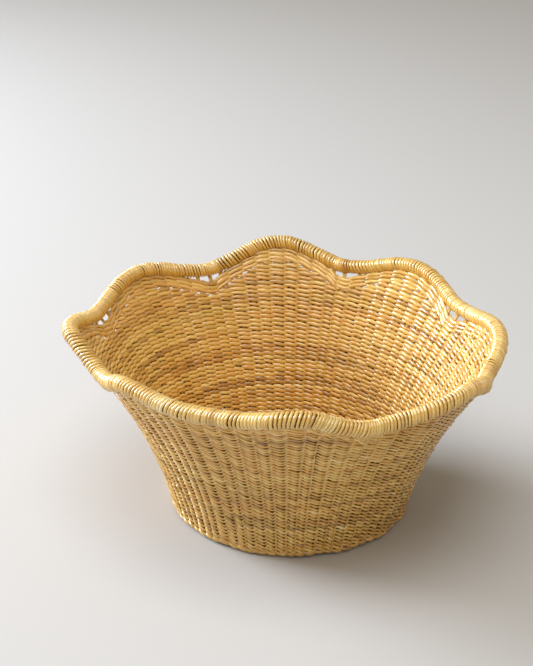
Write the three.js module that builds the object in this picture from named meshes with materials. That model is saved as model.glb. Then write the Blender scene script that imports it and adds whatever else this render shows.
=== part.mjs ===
// A hand-twined straw bowl: a flat woven base, a flaring wall and a wavy rim bound with straw.
// Millimetres, Z up. The origin lies on the floor under the middle of the base.
// Azimuths run anticlockwise from +X, seen from above.
import * as THREE from "three";

// Overall sizes
const RIM_RADIUS = 155; // mean radius of the rim's centre line
const RIM_HEIGHT = 139; // mean height of the rim's centre line
const BASE_RADIUS = 93; // outside of the heel at the floor
const WALL_BOW = 0.53; // share of the flare that grows with the square of the height

// Wavy rim: each petal's crest and the valley after it, as heights over the mean rim
const PETAL_COUNT = 8;
const CREST_RISES = [-2, 5, 10.5, 5.5, 10.5, 6, 7, 3.5];
const VALLEY_RISES = [-8.5, -4, -5, -3, -6.5, 0, -7, -12];
const CREST_SHIFTS = [0, 2, 0, 2, 7, -3, -5, -3]; // degrees from even spacing, as woven by hand
const FIRST_CREST = 4; // azimuth of the first crest in degrees

// Woven straw
const STAKES_PER_PETAL = 10;
const STAKE_HALF = 1.2; // half of a stake's diagonal
const STRAND_THICKNESS = 1.8; // of the strands that pass in front of and behind the stakes
const CLEARANCE = 0.3; // between neighbouring pieces
const HEEL_THICKNESS = 3.2; // of the bolder course round the foot
const BASE_COURSES = 2;
const WALL_COURSES = 6;
const COURSES_PER_FACET = 2; // wall courses that share one straight stretch of the stakes
const BORDER_WIDTH = 10; // of the course that follows the wave under the rim
const VALLEY_OPENING = 4.5; // see-through gap between border and rim in each valley
const SHORT_ROWS_LEAST = 4; // height of the short rows below the deepest valley
const STEEPEST_WEAVE = 0.95; // rise over run of a base strand between two stakes

// Bound rim
const CORE_RADIUS = 4.6;
const CORE_STEPS_PER_STAKE = 2;
const WRAP_CLEARANCE = 0.6; // between core and wrapping, which spans the core's bends
const WRAP_THICKNESS = 1.3;
const WRAP_SHARE = 0.55; // of the space between two stakes that a turn of wrapping fills
const WRAP_STRANDS = 4;
const WRAP_STEPS = 8; // corners in one turn, and sides of the core
const WRAP_END_GAP = 0.08; // radians of a turn left open between one wrapping and the next

// Straw colours
const STAKE_COLOUR = "#b8935a";
const BASE_COLOUR = "#bb9a5f";
const HEEL_COLOUR = "#c2a163";
const WALL_COLOURS = ["#bf9a5e", "#c49f62"];
const BORDER_COLOUR = "#cba768";
const CORE_COLOUR = "#b99a63";
const WRAP_COLOUR = "#dcc18a";
const STRAW_ROUGHNESS = 0.7;
const WRAP_ROUGHNESS = 0.5;

// Sizes that follow from those above
const TURN = 2 * Math.PI;
const STAKE_COUNT = PETAL_COUNT * STAKES_PER_PETAL;
const STAKE_STEP = TURN / STAKE_COUNT;
const STRAND_OFFSET = STAKE_HALF + CLEARANCE + STRAND_THICKNESS / 2;
const HALF_WALL = STRAND_OFFSET + STRAND_THICKNESS / 2;
const BASE_LEVEL = HALF_WALL + CLEARANCE; // height of the stakes in the base
const BASE_TOP = BASE_LEVEL + HALF_WALL;
const FOOT_RADIUS = BASE_RADIUS - HEEL_THICKNESS - CLEARANCE - STAKE_HALF;
const FOLD_RADIUS = (2 * STRAND_OFFSET) / (STEEPEST_WEAVE * STAKE_STEP);
const WRAP_INNER = CORE_RADIUS + WRAP_CLEARANCE;
const WRAP_OUTER = WRAP_INNER + WRAP_THICKNESS;
const RIM_TO_SHORT_ROWS = WRAP_OUTER + CLEARANCE + VALLEY_OPENING + BORDER_WIDTH;
const COURSE_BOTTOM = BASE_TOP + CLEARANCE;
const COURSE_TOP = RIM_HEIGHT + Math.min(...VALLEY_RISES) - RIM_TO_SHORT_ROWS - SHORT_ROWS_LEAST;
const PROFILE = wallProfile();
const WAVE = waveTurningPoints();
const STATIONS = stakeStations();

// Radius of the stakes' centres at a height, on the smooth flare
function flareRadius(height) {
  const share = height / RIM_HEIGHT;
  const flare = (1 - WALL_BOW) * share + WALL_BOW * share * share;
  return FOOT_RADIUS + (RIM_RADIUS - FOOT_RADIUS) * flare;
}

// Height at which wall course number `index` starts
function courseHeight(index) {
  return COURSE_BOTTOM + ((COURSE_TOP - COURSE_BOTTOM) * index) / WALL_COURSES;
}

// The flare as straight stretches, so that the stakes and all courses lie on the same lines
function wallProfile() {
  const heights = [BASE_LEVEL];
  for (let index = COURSES_PER_FACET; index <= WALL_COURSES; index += COURSES_PER_FACET) {
    heights.push(courseHeight(index));
  }
  heights.push(RIM_HEIGHT);
  return heights.map((height) => new THREE.Vector2(flareRadius(height), height));
}

// Unit direction up the wall on one straight stretch, as (radius, height)
function stretchDirection(index) {
  return PROFILE[index + 1].clone().sub(PROFILE[index]).normalize();
}

// Place and directions on the wall at a height; at a bend, the directions halve it
function wallAt(height) {
  const last = PROFILE.length - 2;
  let index = 0;
  while (index < last && height > PROFILE[index + 1].y) {
    index += 1;
  }
  const along = stretchDirection(index);
  const rise = height - PROFILE[index].y;
  const radius = PROFILE[index].x + (rise * along.x) / along.y;
  if (index < last && height === PROFILE[index + 1].y) {
    along.add(stretchDirection(index + 1)).normalize();
  }
  return { radius, along, normal: new THREE.Vector2(along.y, -along.x) };
}

function radial(azimuth) {
  return new THREE.Vector3(Math.cos(azimuth), Math.sin(azimuth), 0);
}

function tangential(azimuth) {
  return new THREE.Vector3(-Math.sin(azimuth), Math.cos(azimuth), 0);
}

// A (radius, height) pair turned to an azimuth
function turned(azimuth, pair) {
  const point = radial(azimuth).multiplyScalar(pair.x);
  point.z = pair.y;
  return point;
}

// Point at a wall height, `out` from the stakes' centres and `up` along the wall
function wallPoint(azimuth, height, out, up = 0) {
  const { radius, along, normal } = wallAt(height);
  const pair = new THREE.Vector2(radius, height);
  pair.addScaledVector(normal, out).addScaledVector(along, up);
  return turned(azimuth, pair);
}

// Crests and valleys in order of azimuth, with the first one repeated a full turn later
function waveTurningPoints() {
  const spacing = TURN / PETAL_COUNT;
  const crestAzimuth = (petal) => {
    const shift = CREST_SHIFTS[petal % PETAL_COUNT];
    return THREE.MathUtils.degToRad(FIRST_CREST + shift) + petal * spacing;
  };
  const points = [];
  for (let petal = 0; petal < PETAL_COUNT; petal += 1) {
    const start = crestAzimuth(petal);
    const middle = (start + crestAzimuth(petal + 1)) / 2;
    points.push({ azimuth: start, rise: CREST_RISES[petal], valley: 0 });
    points.push({ azimuth: middle, rise: VALLEY_RISES[petal], valley: 1 });
  }
  points.push({ ...points[0], azimuth: points[0].azimuth + TURN });
  return points;
}

// Rise of the rim at an azimuth, and how far into a valley it lies from 0 to 1
function waveAt(azimuth) {
  const from = WAVE[0].azimuth;
  const wrapped = from + THREE.MathUtils.euclideanModulo(azimuth - from, TURN);
  const next = WAVE.findIndex((point) => point.azimuth > wrapped);
  const before = WAVE[next - 1];
  const after = WAVE[next];
  const share = (wrapped - before.azimuth) / (after.azimuth - before.azimuth);
  const blend = (1 - Math.cos(Math.PI * share)) / 2;
  return {
    rise: THREE.MathUtils.lerp(before.rise, after.rise, blend),
    valley: THREE.MathUtils.lerp(before.valley, after.valley, blend),
  };
}

// Rim centre and the wall's own up and outward directions there, at an azimuth
function rimAt(azimuth) {
  const { rise, valley } = waveAt(azimuth);
  const height = RIM_HEIGHT + rise;
  const { along, normal } = wallAt(height);
  const centre = wallPoint(azimuth, height, 0);
  return { centre, height, valley, up: turned(azimuth, along), outward: turned(azimuth, normal) };
}

// Point round the rim: `place` counts stakes, `angle` turns from the wall's up to its outside
function rimPoint(place, angle, distance) {
  const { centre, up, outward } = rimAt(place * STAKE_STEP);
  centre.addScaledVector(up, distance * Math.cos(angle));
  return centre.addScaledVector(outward, distance * Math.sin(angle));
}

// Climb of the rim along its own length at a stake, as rise over run in the wall
function rimSteepness(stake) {
  const { up } = rimAt(stake * STAKE_STEP);
  const forward = rimPoint(stake + 0.5, 0, 0).sub(rimPoint(stake - 0.5, 0, 0));
  const climb = forward.dot(up);
  return Math.abs(climb) / forward.addScaledVector(up, -climb).length();
}

// For each stake: its azimuth, its upper end under the rim's core and the edges of the border
function stakeStations() {
  const stations = [];
  const coreFlat = CORE_RADIUS * Math.cos(Math.PI / WRAP_STEPS);
  for (let stake = 0; stake < STAKE_COUNT; stake += 1) {
    const azimuth = stake * STAKE_STEP;
    const { height, valley } = rimAt(azimuth);
    const rise = wallAt(height).along.y;
    const stakeDrop = coreFlat + CLEARANCE + STAKE_HALF * rimSteepness(stake);
    const borderDrop = WRAP_OUTER + CLEARANCE + VALLEY_OPENING * valley * valley;
    const stakeTop = height - stakeDrop * rise;
    const borderTop = height - borderDrop * rise;
    const borderBottom = borderTop - BORDER_WIDTH * rise;
    stations.push({ azimuth, stakeTop, borderTop, borderBottom });
  }
  return stations;
}

// Closed surface through sections of equal corner counts, joined end to end or capped
function sweep(sections, joined) {
  const corners = sections[0].length;
  const points = sections.flat();
  const triangles = [];
  const stretches = joined ? sections.length : sections.length - 1;
  for (let stretch = 0; stretch < stretches; stretch += 1) {
    const near = stretch * corners;
    const far = ((stretch + 1) % sections.length) * corners;
    for (let corner = 0; corner < corners; corner += 1) {
      const next = (corner + 1) % corners;
      triangles.push([near + corner, far + corner, far + next]);
      triangles.push([near + corner, far + next, near + next]);
    }
  }
  if (!joined) {
    const end = (sections.length - 1) * corners;
    for (let corner = 1; corner < corners - 1; corner += 1) {
      triangles.push([0, corner, corner + 1]);
      triangles.push([end, end + corner + 1, end + corner]);
    }
  }
  return outwardGeometry(points, triangles);
}

// Geometry of a closed surface, with its triangles turned to face out
function outwardGeometry(points, triangles) {
  let volume = 0;
  for (const [a, b, c] of triangles) {
    volume += points[a].dot(points[b].clone().cross(points[c]));
  }
  const order = volume > 0 ? triangles : triangles.map(([a, b, c]) => [a, c, b]);
  const geometry = new THREE.BufferGeometry();
  geometry.setFromPoints(points);
  geometry.setIndex(order.flat());
  geometry.computeVertexNormals();
  return geometry;
}

function strawMesh(name, geometry, color, roughness = STRAW_ROUGHNESS) {
  const material = new THREE.MeshStandardMaterial({ color, roughness, metalness: 0 });
  const mesh = new THREE.Mesh(geometry, material);
  mesh.name = name;
  return mesh;
}

// Side of the stakes on which a course passes, 1 or -1, alternating from stake to stake
function weaveSide(stake, course) {
  return (stake + course) % 2 === 0 ? 1 : -1;
}

// One course of the wall, in front of one stake and behind the next
function wallCourse(course, bottomOf, topOf) {
  const sections = STATIONS.map((station, stake) => {
    const middle = weaveSide(stake, course) * STRAND_OFFSET;
    const inner = middle - STRAND_THICKNESS / 2;
    const outer = middle + STRAND_THICKNESS / 2;
    const bottom = (out) => wallPoint(station.azimuth, bottomOf(station), out, CLEARANCE / 2);
    const top = (out) => wallPoint(station.azimuth, topOf(station), out, -CLEARANCE / 2);
    return [bottom(inner), bottom(outer), top(outer), top(inner)];
  });
  return sweep(sections, true);
}

function wallCourses() {
  const meshes = [];
  for (let course = 0; course < WALL_COURSES; course += 1) {
    const bottomOf = () => courseHeight(course);
    const topOf = () => courseHeight(course + 1);
    const color = WALL_COLOURS[course % WALL_COLOURS.length];
    meshes.push(strawMesh(`wall_course_${course + 1}`, wallCourse(course, bottomOf, topOf), color));
  }
  return meshes;
}

// The short rows that fill each petal, and the border that follows the wave above them
function wavyCourses() {
  const flat = () => COURSE_TOP;
  const borderBottom = (station) => station.borderBottom;
  const borderTop = (station) => station.borderTop;
  const shortRows = wallCourse(WALL_COURSES, flat, borderBottom);
  const border = wallCourse(WALL_COURSES + 1, borderBottom, borderTop);
  return [
    strawMesh("petal_course", shortRows, WALL_COLOURS[0]),
    strawMesh("border_course", border, BORDER_COLOUR),
  ];
}

// The heel: a plain ring outside the bend of the stakes, flat on the floor
function heelCourse() {
  const { along } = wallAt(BASE_LEVEL);
  const inner = STAKE_HALF + CLEARANCE;
  const outer = inner + HEEL_THICKNESS;
  const footInner = FOOT_RADIUS + inner / along.y;
  const sections = STATIONS.map(({ azimuth }) => [
    turned(azimuth, new THREE.Vector2(footInner, 0)),
    turned(azimuth, new THREE.Vector2(BASE_RADIUS, 0)),
    wallPoint(azimuth, COURSE_BOTTOM, outer, -CLEARANCE / 2),
    wallPoint(azimuth, COURSE_BOTTOM, inner, -CLEARANCE / 2),
  ]);
  return strawMesh("heel_course", sweep(sections, true), HEEL_COLOUR);
}

// Courses of the base, over one stake and under the next
function baseCourses() {
  const from = FOLD_RADIUS + STAKE_HALF + CLEARANCE;
  const to = PROFILE[0].x - STAKE_HALF - CLEARANCE;
  const width = (to - from + CLEARANCE) / BASE_COURSES;
  const meshes = [];
  for (let course = 0; course < BASE_COURSES; course += 1) {
    const inner = from + course * width;
    const outer = inner + width - CLEARANCE;
    const sections = STATIONS.map(({ azimuth }, stake) => {
      const middle = BASE_LEVEL + weaveSide(stake, course) * STRAND_OFFSET;
      const low = middle - STRAND_THICKNESS / 2;
      const high = middle + STRAND_THICKNESS / 2;
      const corners = [[inner, low], [outer, low], [outer, high], [inner, high]];
      return corners.map(([radius, height]) => turned(azimuth, new THREE.Vector2(radius, height)));
    });
    meshes.push(strawMesh(`base_course_${course + 1}`, sweep(sections, true), BASE_COLOUR));
  }
  return meshes;
}

// The closely woven start of the base, a flat disc inside the folds of the stakes
function baseStart() {
  const radius = FOLD_RADIUS - STAKE_HALF - CLEARANCE;
  const ring = (height) => STATIONS.map(({ azimuth }) => turned(azimuth, new THREE.Vector2(radius, height)));
  return strawMesh("base_start", sweep([ring(0), ring(BASE_TOP)], false), BASE_COLOUR);
}

// Offset from the corner between two strips whose unit side directions are given
function mitre(first, second) {
  const sum = first.clone().add(second);
  return sum.multiplyScalar(STAKE_HALF / (1 + first.dot(second)));
}

// Four corners of a stake's section from its outer and side offsets
function stakeSection(centre, outward, sideways) {
  return [
    centre.clone().add(outward),
    centre.clone().add(sideways),
    centre.clone().sub(outward),
    centre.clone().sub(sideways),
  ];
}

// Sections of one upright from the rim down to the heel and in to its fold under the base rows
function uprightSections(stake, side, foldAzimuth) {
  const { azimuth, stakeTop } = STATIONS[stake];
  const sideways = tangential(azimuth).multiplyScalar(side);
  const sideOffset = sideways.clone().multiplyScalar(STAKE_HALF);
  const down = new THREE.Vector3(0, 0, -1);
  const heights = [stakeTop, ...PROFILE.slice(1, -1).map((point) => point.y).reverse()];
  const sections = heights.map((height) => {
    const outward = turned(azimuth, wallAt(height).normal).multiplyScalar(STAKE_HALF);
    return stakeSection(wallPoint(azimuth, height, 0), outward, sideOffset);
  });
  const wallNormal = turned(azimuth, wallAt(BASE_LEVEL).normal);
  sections.push(stakeSection(wallPoint(azimuth, BASE_LEVEL, 0), mitre(wallNormal, down), sideOffset));
  const fold = turned(azimuth, new THREE.Vector2(FOLD_RADIUS, BASE_LEVEL));
  const foldSide = mitre(sideways, radial(foldAzimuth));
  sections.push(stakeSection(fold, down.multiplyScalar(STAKE_HALF), foldSide));
  return sections;
}

// Each stake is one stem folded in the base, and gives two neighbouring uprights
function stakes() {
  const meshes = [];
  for (let stem = 0; stem < STAKE_COUNT / 2; stem += 1) {
    const foldAzimuth = (2 * stem + 0.5) * STAKE_STEP;
    const first = uprightSections(2 * stem, 1, foldAzimuth);
    const second = uprightSections(2 * stem + 1, -1, foldAzimuth).reverse();
    const number = String(stem + 1).padStart(2, "0");
    meshes.push(strawMesh(`stake_${number}`, sweep([...first, ...second], false), STAKE_COLOUR));
  }
  return meshes;
}

// The straw bundle inside the rim
function rimCore() {
  const sections = [];
  for (let step = 0; step < STAKE_COUNT * CORE_STEPS_PER_STAKE; step += 1) {
    const corners = [];
    for (let side = 0; side < WRAP_STEPS; side += 1) {
      const angle = ((side + 0.5) * TURN) / WRAP_STEPS;
      corners.push(rimPoint(step / CORE_STEPS_PER_STAKE, angle, CORE_RADIUS));
    }
    sections.push(corners);
  }
  return strawMesh("rim_core", sweep(sections, true), CORE_COLOUR);
}

// Sections of a wrapping: one turn passes under the rim between each two stakes
function wrapSections(firstTurn, turns) {
  const half = WRAP_SHARE / 2;
  const steps = turns * WRAP_STEPS;
  const sections = [];
  for (let step = 0; step <= steps; step += 1) {
    let angle = ((step + 0.5) * TURN) / WRAP_STEPS;
    if (step === 0) {
      angle += WRAP_END_GAP / 2;
    }
    if (step === steps) {
      angle -= WRAP_END_GAP / 2;
    }
    const place = firstTurn + angle / TURN;
    sections.push([
      rimPoint(place - half, angle, WRAP_INNER),
      rimPoint(place + half, angle, WRAP_INNER),
      rimPoint(place + half, angle, WRAP_OUTER),
      rimPoint(place - half, angle, WRAP_OUTER),
    ]);
  }
  return sections;
}

// Least distance between corners of a winding that lie over half a turn apart along it
function leastGap(sections) {
  let least = Infinity;
  sections.forEach((section, index) => {
    for (const other of sections.slice(index + 1 + WRAP_STEPS / 2)) {
      for (const corner of section) {
        least = Math.min(least, ...other.map((point) => point.distanceTo(corner)));
      }
    }
  });
  return least;
}

function rimWraps() {
  const turns = STAKE_COUNT / WRAP_STRANDS;
  const meshes = [];
  for (let strand = 0; strand < WRAP_STRANDS; strand += 1) {
    const name = `rim_wrap_${strand + 1}`;
    const sections = wrapSections(strand * turns, turns);
    console.log(`${name}: least gap to itself ${leastGap(sections).toFixed(2)} mm`);
    meshes.push(strawMesh(name, sweep(sections, false), WRAP_COLOUR, WRAP_ROUGHNESS));
  }
  return meshes;
}

const bowl = new THREE.Group();
bowl.add(baseStart(), ...baseCourses(), heelCourse(), ...stakes());
bowl.add(...wallCourses(), ...wavyCourses(), rimCore(), ...rimWraps());

export default bowl;
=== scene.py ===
"""A hand-twined straw bowl with a flaring wall and a wavy rim bound with straw.

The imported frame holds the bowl's pieces at their real size. This script replaces them with stems,
twined strands and wrapping that follow the same lines, dresses them in straw, and adds a floor,
lights and a camera. Lengths are metres, Z is up and azimuths run anticlockwise from +X. A place
along a row is counted in stakes, and a length up the wall is measured along it from the floor.
"""

import logging
from dataclasses import dataclass, field
from enum import Enum
from functools import cached_property

import bpy
import numpy as np
from mathutils import Matrix, Vector


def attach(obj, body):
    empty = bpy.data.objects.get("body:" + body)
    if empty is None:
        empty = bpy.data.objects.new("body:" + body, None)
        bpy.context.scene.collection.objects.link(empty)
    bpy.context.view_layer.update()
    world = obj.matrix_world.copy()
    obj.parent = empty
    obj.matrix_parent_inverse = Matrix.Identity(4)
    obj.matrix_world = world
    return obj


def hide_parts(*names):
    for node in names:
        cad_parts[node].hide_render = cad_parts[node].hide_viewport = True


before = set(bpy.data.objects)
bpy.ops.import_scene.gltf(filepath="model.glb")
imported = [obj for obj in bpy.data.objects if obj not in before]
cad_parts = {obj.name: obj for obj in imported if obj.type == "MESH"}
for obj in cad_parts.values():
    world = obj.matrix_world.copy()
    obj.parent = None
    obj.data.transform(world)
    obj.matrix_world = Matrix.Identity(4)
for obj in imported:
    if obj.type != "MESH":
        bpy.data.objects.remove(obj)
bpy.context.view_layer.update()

LOG = logging.getLogger("straw_bowl")
Array = np.ndarray
Triple = tuple[float, float, float]
ColourRun = tuple[tuple[float, Triple], ...]
Tree = bpy.types.NodeTree
Socket = bpy.types.NodeSocket
Inputs = dict[str | int, object]
TURN = 2.0 * np.pi
DOWN = np.array([0.0, 0.0, -1.0])
BODY = "root"
STRAND_MAP = "strand"
TONE, WARMTH = "tone", "warmth"
NOISE_MIDDLE = 0.5
RAMP_MIDDLE = 0.5
BASE_SEED, STAKE_SEED, WALL_SEED, RIM_SEED = 21, 22, 23, 24


class Slant(Enum):
    """Which way a twined strand slants as it passes in front of a stake."""

    DOWN_TO_THE_RIGHT = -1.0
    UP_TO_THE_RIGHT = 1.0


def unit(vectors: Array) -> Array:
    """The vectors scaled to length one."""
    return vectors / np.linalg.norm(vectors, axis=-1, keepdims=True)


def feed(tree: Tree, node: bpy.types.Node, inputs: Inputs) -> None:
    """Fills inputs of a shader node.

    Args:
        tree: Node tree that holds the node.
        node: The node.
        inputs: What each named or numbered input gets: another node's output, or a fixed value.
    """
    for key, value in inputs.items():
        if isinstance(value, Socket):
            tree.links.new(value, node.inputs[key])
        else:
            node.inputs[key].default_value = value


def add_node(tree: Tree, kind: str, inputs: Inputs, **settings: str) -> bpy.types.Node:
    """Adds a shader node, sets it up and fills its inputs.

    Args:
        tree: Node tree that gets the node.
        kind: Type of the node.
        inputs: What each named or numbered input gets: another node's output, or a fixed value.
        **settings: Properties of the node, set before its inputs.

    Returns:
        The node.
    """
    node = tree.nodes.new(kind)
    for name, value in settings.items():
        setattr(node, name, value)
    feed(tree, node, inputs)
    return node


def add_math(tree: Tree, operation: str, first: Socket, second: Socket | float) -> Socket:
    """Adds a math node for two numbers and returns its output."""
    node = add_node(tree, "ShaderNodeMath", {0: first, 1: second}, operation=operation)
    return node.outputs["Value"]


@dataclass(frozen=True)
class Ripple:
    """A smooth, seamless unevenness over azimuth and height, as weaving by hand leaves it."""

    seed: int
    size: float
    lowest: int
    highest: int
    climb: float
    waves: int = 7

    def at(self, azimuth: Array, length: Array) -> Array:
        """Sum of sines of whole-number frequencies round the bowl, drifting with the height.

        Args:
            azimuth: Angles round the bowl.
            length: Lengths up the wall, of a matching shape.

        Returns:
            The unevenness at each point, mostly within `size`.
        """
        rng = np.random.default_rng(self.seed)
        counts = rng.integers(self.lowest, self.highest + 1, self.waves)
        starts = rng.uniform(0.0, TURN, self.waves)
        drifts = rng.uniform(-self.climb, self.climb, self.waves)
        total = np.zeros(np.broadcast(azimuth, length).shape)
        for count, start, drift in zip(counts, starts, drifts):
            total += np.sin(count * azimuth + start + drift * length)
        return self.size * total / np.sqrt(self.waves)


@dataclass(frozen=True)
class BowlShape:
    """Driving sizes of the bowl, and the wall and rim lines that every strand follows.

    The first crest's azimuth and the crests' shifts from even spacing are in degrees.
    """

    rim_radius: float = 0.155
    rim_height: float = 0.139
    foot_radius: float = 0.0883
    fold_radius: float = 0.0643
    wall_bow: float = 0.53
    crest_rises: tuple[float, ...] = (-0.002, 0.005, 0.0105, 0.0055, 0.0105, 0.006, 0.007, 0.0035)
    valley_rises: tuple[float, ...] = (-0.0085, -0.004, -0.005, -0.003, -0.0065, 0.0, -0.007, -0.012)
    crest_shifts: tuple[float, ...] = (0.0, 2.0, 0.0, 2.0, 7.0, -3.0, -5.0, -3.0)
    first_crest: float = 4.0
    stakes: int = 80
    base_level: float = 0.0036
    table_reach: float = 1.3
    table_steps: int = 2000
    lean: Ripple = Ripple(seed=11, size=0.10, lowest=3, highest=33, climb=25.0)
    sag: Ripple = Ripple(seed=12, size=0.0005, lowest=2, highest=13, climb=18.0)
    bulge: Ripple = Ripple(seed=13, size=0.0005, lowest=2, highest=17, climb=30.0)

    @property
    def stake_step(self) -> float:
        """Azimuth between two neighbouring stakes."""
        return TURN / self.stakes

    def radius_at(self, height: Array) -> Array:
        """Radius of the stakes: a flare that is part straight and part square in the height.

        Args:
            height: Heights over the floor.

        Returns:
            The radius at each.
        """
        share = height / self.rim_height
        flare = (1.0 - self.wall_bow) * share + self.wall_bow * share**2
        return self.foot_radius + (self.rim_radius - self.foot_radius) * flare

    def slope_at(self, height: Array) -> Array:
        """Growth of the radius with the height, the derivative of the flare.

        Args:
            height: Heights over the floor.

        Returns:
            The growth at each.
        """
        share = height / self.rim_height
        growth = (1.0 - self.wall_bow) + 2.0 * self.wall_bow * share
        return (self.rim_radius - self.foot_radius) * growth / self.rim_height

    @cached_property
    def _lengths(self) -> tuple[Array, Array]:
        """Table of lengths up the wall, added up from short straight steps to past the crests.

        Returns:
            Heights, and the length up to each.
        """
        heights = np.linspace(0.0, self.table_reach * self.rim_height, self.table_steps)
        steps = np.hypot(np.diff(heights), np.diff(self.radius_at(heights)))
        return heights, np.concatenate([[0.0], np.cumsum(steps)])

    def length_at(self, height: Array) -> Array:
        """Length up the wall at a height."""
        heights, lengths = self._lengths
        return np.interp(height, heights, lengths)

    def height_at(self, length: Array) -> Array:
        """Height at a length up the wall."""
        heights, lengths = self._lengths
        return np.interp(length, lengths, heights)

    @cached_property
    def _wave(self) -> tuple[Array, Array, Array]:
        """The rim's crests and valleys in turn, with each valley midway between two crests.

        Returns:
            Azimuths, rises and valley marks, with the first crest again at the end.
        """
        count = len(self.crest_rises)
        even = np.arange(count) * TURN / count
        crests = np.radians(self.first_crest + np.array(self.crest_shifts)) + even
        following = np.append(crests[1:], crests[0] + TURN)
        azimuths = np.column_stack([crests, (crests + following) / 2.0]).ravel()
        rises = np.column_stack([self.crest_rises, self.valley_rises]).ravel()
        marks = np.tile([0.0, 1.0], count)
        return (
            np.append(azimuths, azimuths[0] + TURN),
            np.append(rises, rises[0]),
            np.append(marks, marks[0]),
        )

    def wave_at(self, azimuth: Array) -> tuple[Array, Array]:
        """Rim's rise over its mean height, and how deep in a valley it lies.

        Between a crest and a valley both follow half a cosine wave.

        Args:
            azimuth: Angles round the bowl.

        Returns:
            The rises, and valley shares from 0 on a crest to 1 in a valley.
        """
        azimuths, rises, marks = self._wave
        wrapped = azimuths[0] + np.mod(azimuth - azimuths[0], TURN)
        after = np.clip(np.searchsorted(azimuths, wrapped, side="right"), 1, len(azimuths) - 1)
        before = after - 1
        share = (wrapped - azimuths[before]) / (azimuths[after] - azimuths[before])
        blend = (1.0 - np.cos(np.pi * share)) / 2.0
        rise = rises[before] + blend * (rises[after] - rises[before])
        return rise, marks[before] + blend * (marks[after] - marks[before])

    def crests(self) -> Array:
        """Azimuths of the rim's crests."""
        return self._wave[0][:-1:2]

    def rim_length(self, azimuth: Array) -> Array:
        """Length up the wall at which the rim's middle lies."""
        return self.length_at(self.rim_height + self.wave_at(azimuth)[0])

    def wall(self, place: Array, length: Array) -> tuple[Array, Array, Array]:
        """Points of the wall in the stakes' surface, with its up and outward directions.

        The flare is turned round the axis. Its stakes lean, its rows sag and its surface bulges
        by the three ripples.

        Args:
            place: Places along the row, in stakes.
            length: Lengths up the wall, of a matching shape.

        Returns:
            Points, unit directions up the wall and unit directions out of it, each (n, 3).
        """
        place, length = np.broadcast_arrays(place, length)
        even = place * self.stake_step
        azimuth = even + self.lean.at(even, length) * self.stake_step
        height = self.height_at(length + self.sag.at(even, length))
        slope = self.slope_at(height)
        steep = np.sqrt(1.0 + slope**2)
        cosine, sine = np.cos(azimuth), np.sin(azimuth)
        up = np.stack([slope * cosine, slope * sine, np.ones_like(slope)], axis=-1) / steep[:, None]
        outward = np.stack([cosine, sine, -slope], axis=-1) / steep[:, None]
        radius = self.radius_at(height)
        point = np.stack([radius * cosine, radius * sine, height], axis=-1)
        return point + outward * self.bulge.at(even, length)[:, None], up, outward

    def base(self, place: Array, radius: Array, spokes: int) -> tuple[Array, Array, Array]:
        """Points of the base on straight spokes in a level plane, with directions out and down.

        Args:
            place: Places along the row, in spokes of the base.
            radius: Radii, of a matching shape.
            spokes: How many spokes there are at this radius.

        Returns:
            Points, unit directions along the spokes and unit directions down, each (n, 3).
        """
        place, radius = np.broadcast_arrays(place, radius)
        azimuth = place * TURN / spokes
        spoke = np.stack([np.cos(azimuth), np.sin(azimuth), np.zeros_like(azimuth)], axis=-1)
        point = spoke * radius[:, None]
        point[:, 2] = self.base_level
        return point, spoke, np.broadcast_to(DOWN, point.shape)


@dataclass
class Strand:
    """One length of straw: its middle line, and its flattened round section along it."""

    middle: Array
    thick: Array
    half_width: Array
    half_thickness: Array
    tone: Array
    warmth: Array
    closed: bool
    fullness: float = 0.9

    def rings(self, sides: int) -> Array:
        """Points of the surface: a full ellipse square to the middle line at each of its points.

        The section's short axis lies along `thick`, and its long axis across both that and the
        line. The cosine along the long axis is raised to the power `fullness`, which draws the
        ellipse slightly towards a rectangle.

        Args:
            sides: Points on each section.

        Returns:
            An array of (points along, sides, 3).
        """
        if self.closed:
            tangent = np.roll(self.middle, -1, axis=0) - np.roll(self.middle, 1, axis=0)
        else:
            tangent = np.gradient(self.middle, axis=0)
        tangent = unit(tangent)
        lift = unit(self.thick - tangent * np.sum(self.thick * tangent, axis=1, keepdims=True))
        across = np.cross(tangent, lift)
        angle = np.arange(sides) * TURN / sides
        spread = np.sign(np.cos(angle)) * np.abs(np.cos(angle)) ** self.fullness
        wide = across[:, None, :] * (self.half_width[:, None] * spread)[:, :, None]
        high = lift[:, None, :] * (self.half_thickness[:, None] * np.sin(angle))[:, :, None]
        return self.middle[:, None, :] + wide + high

    def run(self) -> Array:
        """Length along the middle line at each point, and at the closing point if it is closed."""
        line = np.vstack([self.middle, self.middle[:1]]) if self.closed else self.middle
        return np.concatenate([[0.0], np.cumsum(np.linalg.norm(np.diff(line, axis=0), axis=1))])


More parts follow.
